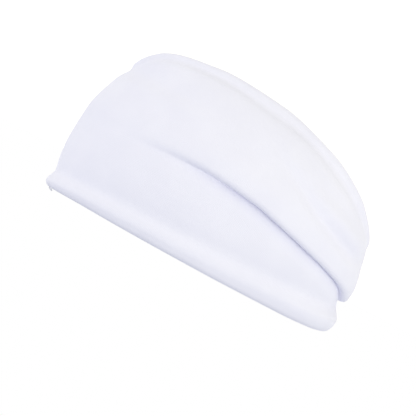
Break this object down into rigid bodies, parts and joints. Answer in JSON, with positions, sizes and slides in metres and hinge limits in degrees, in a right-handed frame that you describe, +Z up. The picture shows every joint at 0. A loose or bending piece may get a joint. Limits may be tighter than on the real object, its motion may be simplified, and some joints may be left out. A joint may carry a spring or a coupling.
{
  "type": "sports headband",
  "caption": "Wide two-layer stretch-knit headband with a soft arched upper rim and a rolled lower rim, shaped as it is worn.",
  "frame": {"origin": "middle of the footprint, on the surface that the lower rim lies on", "axes": "+Z up from the lower rim to the upper rim, +Y towards the nape so -Y is the forehead, +X towards the wearer's left"},
  "size_m": [0.1554, 0.1941, 0.112],
  "materials": {
    "shell_knit": "white fine-gauge stretch knit, matte with a faint sheen",
    "lining_knit": "white brushed jersey lining, matte",
    "elastic": "white braided elastic",
    "thread": "white polyester sewing thread"
  },
  "bodies": {
    "root": {"outer_shell": "shell_knit", "inner_lining": "lining_knit", "upper_elastic_tape": "elastic", "lower_elastic_core": "elastic", "upper_rim_thread": "thread", "lower_rim_thread": "thread", "shell_seam_thread": "thread", "lining_seam_thread": "thread", "thread_tail": "thread"}
  },
  "joints": []
}
